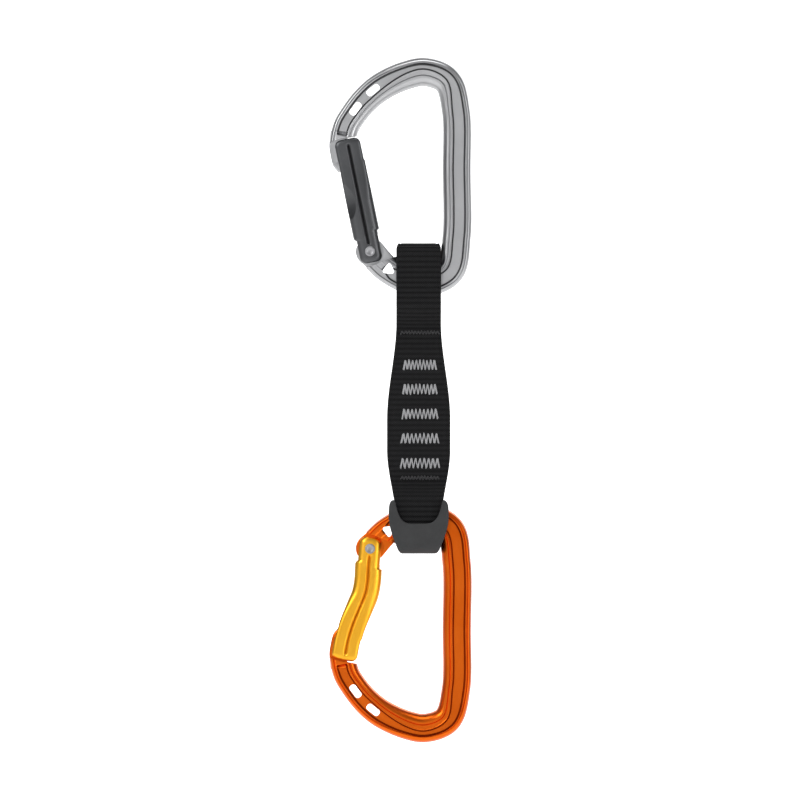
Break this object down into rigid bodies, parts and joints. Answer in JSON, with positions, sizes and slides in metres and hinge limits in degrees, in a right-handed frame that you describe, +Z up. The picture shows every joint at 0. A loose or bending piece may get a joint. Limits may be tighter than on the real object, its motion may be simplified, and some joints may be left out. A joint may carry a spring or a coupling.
{
  "type": "climbing quickdraw",
  "caption": "Two spring-gate carabiners, one straight gate and one bent gate, joined by a short sewn sling with a rubber retainer.",
  "frame": {"origin": "middle of the upper carabiner's top bend, on the flat where it hangs on a hanger", "axes": "+Z up, along the draw as it hangs; the gates are on the -X side and the front of the draw faces -Y"},
  "size_m": [0.0559, 0.0212, 0.2685],
  "materials": {
    "silver_frame": "satin anodised",
    "grey_gate": "satin dark grey anodised",
    "orange_frame": "satin orange anodised",
    "yellow_gate": "satin yellow anodised",
    "steel_rivet": "bright",
    "steel_pusher": "machined",
    "spring_steel": "bright wire",
    "black_webbing": "woven polyamide strap",
    "grey_thread": "bonded sewing thread",
    "black_thread": "bonded sewing thread",
    "grey_rubber": "matt moulded rubber"
  },
  "bodies": {
    "upper_carabiner": {"upper_frame": "silver_frame", "upper_hinge_rivet": "steel_rivet"},
    "upper_gate_body": {"upper_gate": "grey_gate", "upper_gate_spring": "spring_steel"},
    "upper_pusher": {"upper_spring_pusher": "steel_pusher"},
    "sling": {"sling_webbing": "black_webbing", "bartack_1": "grey_thread", "bartack_2": "grey_thread", "bartack_3": "grey_thread", "bartack_4": "grey_thread", "bartack_5": "grey_thread", "end_stitch_upper": "black_thread", "end_stitch_lower": "black_thread", "retainer": "grey_rubber"},
    "lower_carabiner": {"lower_frame": "orange_frame", "lower_hinge_rivet": "steel_rivet"},
    "lower_gate_body": {"lower_gate": "yellow_gate", "lower_gate_spring": "spring_steel"},
    "lower_pusher": {"lower_spring_pusher": "steel_pusher"}
  },
  "joints": [
    {"name": "upper_gate_hinge", "type": "hinge", "parent": "upper_carabiner", "child": "upper_gate_body", "pos_m": [-0.02193, 0, -0.06481], "axis": [0, 1, 0], "range_deg": [0, 38], "stiffness_Nm_per_rad": 0.12, "springref_deg": -20.05},
    {"name": "upper_pusher_slide", "type": "slide", "parent": "upper_gate_body", "child": "upper_pusher", "axis": [-0.2011, 0, 0.9796], "range_m": [0, 0.00225], "deforming": ["upper_gate_spring"]},
    {"name": "sling_swing", "type": "hinge", "parent": "upper_carabiner", "child": "sling", "pos_m": [0, 0, -0.0752], "axis": [1, 0, 0], "range_deg": [-15, 15]},
    {"name": "lower_carabiner_swing", "type": "hinge", "parent": "sling", "child": "lower_carabiner", "pos_m": [0, 0, -0.1708], "axis": [1, 0, 0], "range_deg": [-8, 8], "stiffness_Nm_per_rad": 0.05},
    {"name": "lower_gate_hinge", "type": "hinge", "parent": "lower_carabiner", "child": "lower_gate_body", "pos_m": [-0.02193, 0, -0.1812], "axis": [0, -1, 0], "range_deg": [0, 38], "stiffness_Nm_per_rad": 0.12, "springref_deg": -20.05},
    {"name": "lower_pusher_slide", "type": "slide", "parent": "lower_gate_body", "child": "lower_pusher", "axis": [-0.0872, 0, -0.9962], "range_m": [0, 0.00225], "deforming": ["lower_gate_spring"]}
  ],
  "couplings": [
    {"joint": "upper_pusher_slide", "follows": "upper_gate_hinge", "m_per_rad": 0.0033},
    {"joint": "lower_pusher_slide", "follows": "lower_gate_hinge", "m_per_rad": 0.0033}
  ]
}
